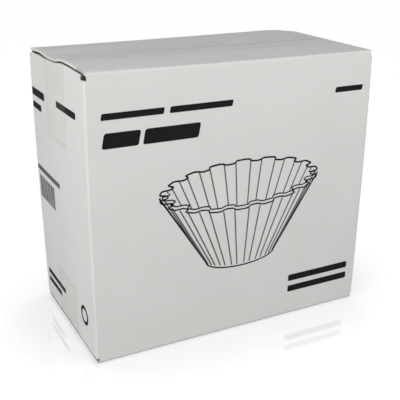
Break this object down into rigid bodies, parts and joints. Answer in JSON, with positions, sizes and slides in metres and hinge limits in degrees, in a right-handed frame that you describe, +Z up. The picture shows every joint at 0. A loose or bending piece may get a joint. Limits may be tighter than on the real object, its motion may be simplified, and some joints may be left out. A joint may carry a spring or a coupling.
{
  "type": "sealed corrugated carton of coffee filters",
  "caption": "Full corrugated shipping carton of paper coffee filters, taped shut, with a printed line drawing of a fluted filter.",
  "frame": {"origin": "middle of the carton's base, at floor height", "axes": "+X along the long printed front, +Y from the front to the back, +Z up"},
  "size_m": [0.3753, 0.2, 0.3424],
  "materials": {
    "board": "matte",
    "tape": "gloss"
  },
  "bodies": {
    "root": {"carton": "board", "top_tape": "tape", "bottom_tape": "tape"}
  },
  "joints": []
}
